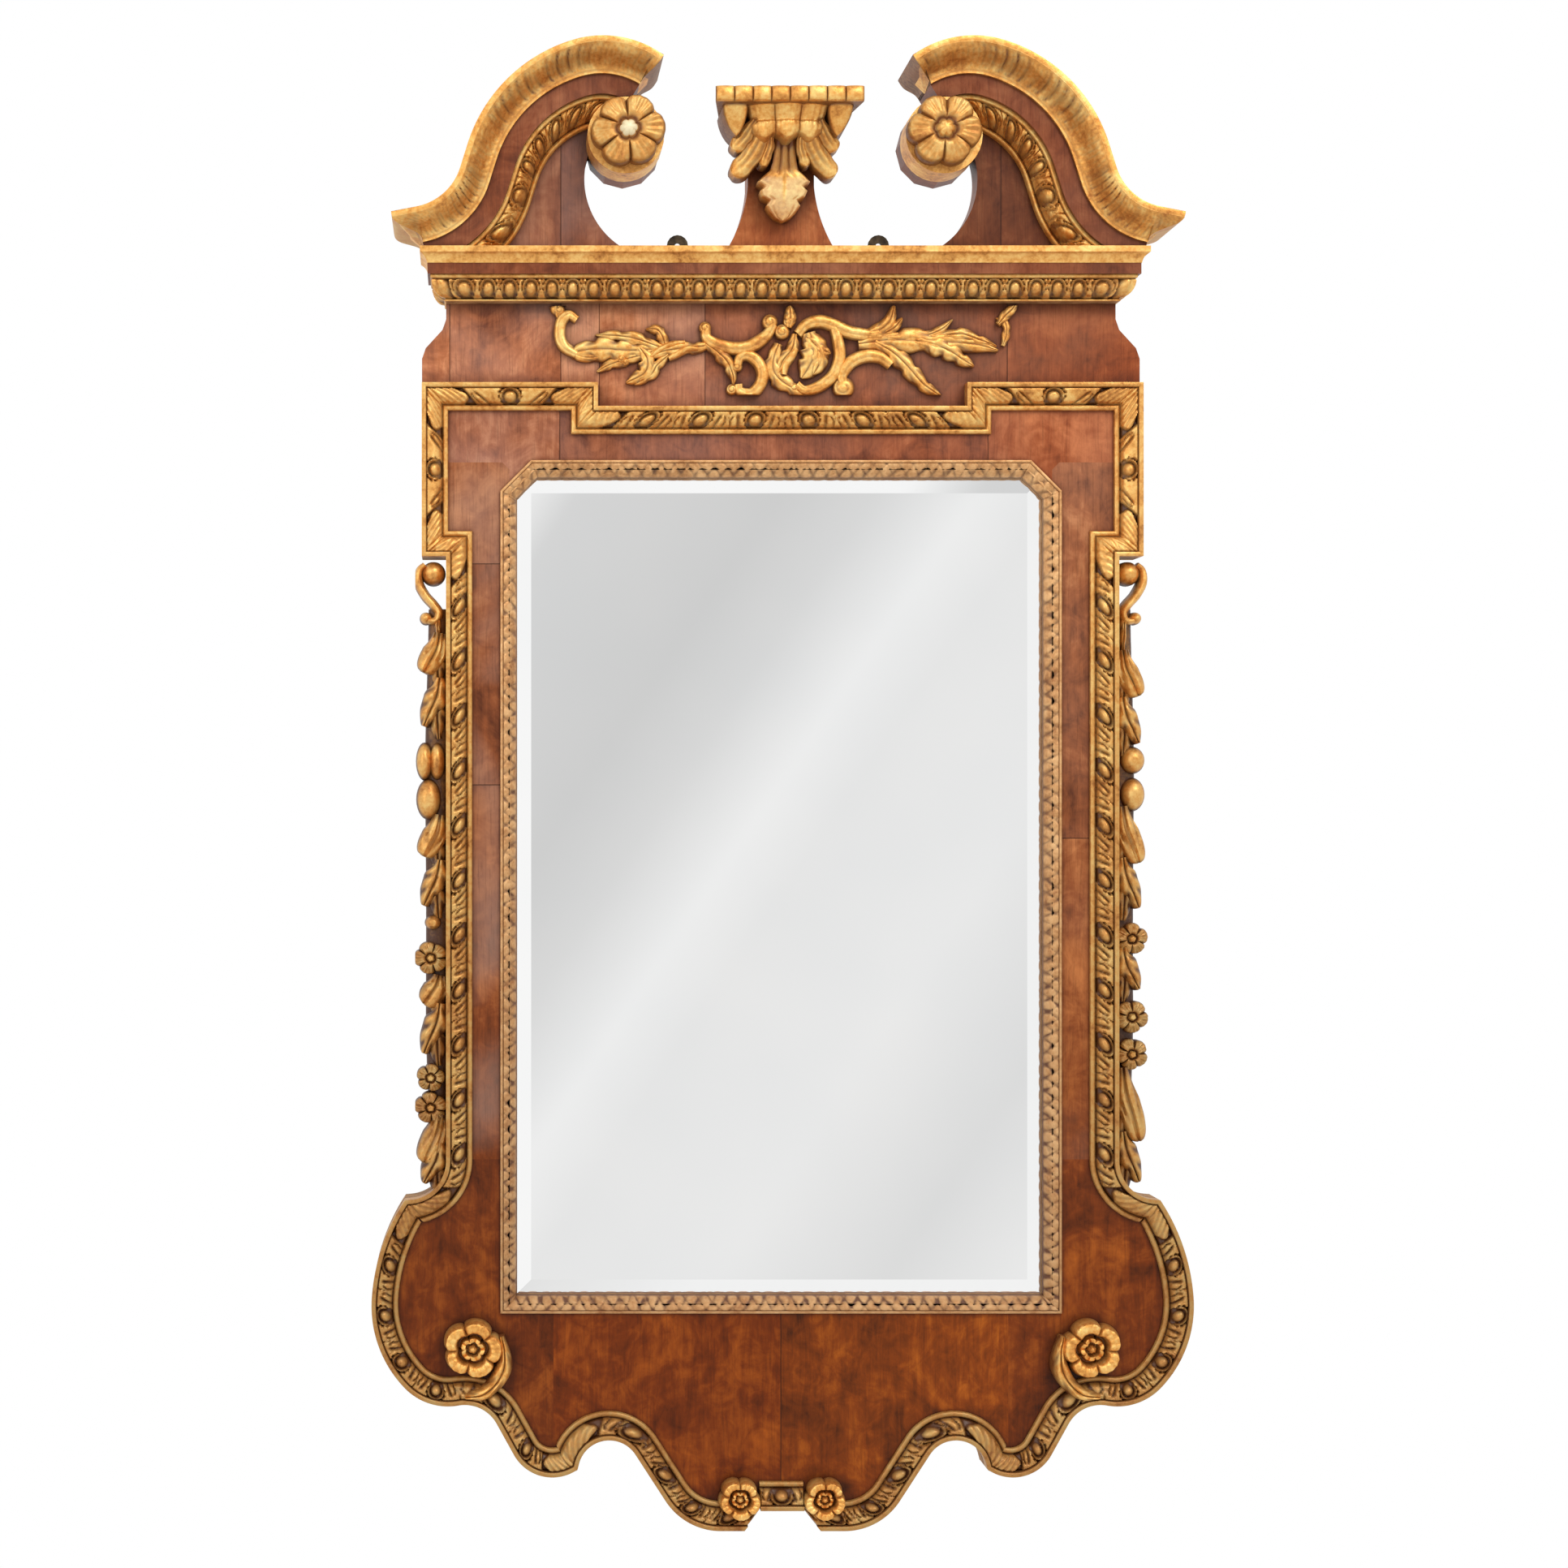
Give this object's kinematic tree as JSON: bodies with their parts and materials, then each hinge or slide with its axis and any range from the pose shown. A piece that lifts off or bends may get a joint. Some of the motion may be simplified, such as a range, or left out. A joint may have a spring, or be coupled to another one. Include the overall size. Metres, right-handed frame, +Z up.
{
  "type": "wall mirror",
  "caption": "Tall bevelled wall mirror in a veneered, gilt-carved frame with a broken swan-neck pediment, flower-ended scrolls, eared apron and hidden hanging plates",
  "frame": {"origin": "Midway between the eyes of the two hanging plates, on the wall plane, where the wall screws carry the mirror", "axes": "+Z up along the length of the mirror, +X to the right seen from the front, +Y into the wall, so the glass faces -Y"},
  "size_m": [0.7656, 0.105, 1.3794],
  "materials": {
    "walnut_veneer": "figured walnut, polished, with darker mottling",
    "pine_carcass": "plain softwood, planed and aged brown",
    "gilt_moulding": "old water gilding over gesso, rubbed on the high places, brown in the hollows",
    "gilt_carving": "old gilding on carved wood, satin, toned brown in the hollows",
    "mirror_glass": "silvered plate with a wide flat bevel",
    "backboard": "thin plain board, aged",
    "plate_brass": "dull, darkened",
    "nail_iron": "square cut nails, dull"
  },
  "bodies": {
    "root": {"apron_board": "pine_carcass", "apron_centre_moulding": "gilt_moulding", "apron_mouldings": "gilt_moulding", "back_nails": "nail_iron", "backing_board": "backboard", "base_flowers": "gilt_carving", "console_bracket": "gilt_carving", "console_platform": "gilt_carving", "cornice_core": "pine_carcass", "cornice_fascia": "walnut_veneer", "cornice_fillet": "gilt_moulding", "cornice_ovolo": "gilt_moulding", "crest_moulding": "gilt_moulding", "crown_mouldings": "gilt_moulding", "ear_mouldings": "gilt_moulding", "frieze_board": "pine_carcass", "frieze_carving": "gilt_carving", "frieze_veneer": "walnut_veneer", "hanging_plates": "plate_brass", "left_apron_veneer": "walnut_veneer", "left_crown_fascia": "walnut_veneer", "left_drop": "gilt_carving", "left_ear_board": "pine_carcass", "left_ear_veneer": "walnut_veneer", "left_pediment_board": "pine_carcass", "left_pediment_veneer": "walnut_veneer", "left_shoulder_moulding": "gilt_moulding", "left_side_moulding": "gilt_moulding", "left_stile": "pine_carcass", "left_stile_veneer": "walnut_veneer", "mirror_glass": "mirror_glass", "plinth_board": "walnut_veneer", "right_apron_veneer": "walnut_veneer", "right_crown_fascia": "walnut_veneer", "right_drop": "gilt_carving", "right_ear_board": "pine_carcass", "right_ear_veneer": "walnut_veneer", "right_pediment_board": "pine_carcass", "right_pediment_veneer": "walnut_veneer", "right_shoulder_moulding": "gilt_moulding", "right_side_moulding": "gilt_moulding", "right_stile": "pine_carcass", "right_stile_veneer": "walnut_veneer", "rosettes": "gilt_carving", "scroll_bosses": "gilt_moulding", "sight_moulding_bottom": "gilt_moulding", "sight_moulding_left": "gilt_moulding", "sight_moulding_right": "gilt_moulding", "sight_moulding_top": "gilt_moulding", "swan_mouldings": "gilt_moulding", "top_rail": "pine_carcass", "top_rail_veneer": "walnut_veneer", "volute_flowers": "gilt_carving"}
  },
  "joints": []
}
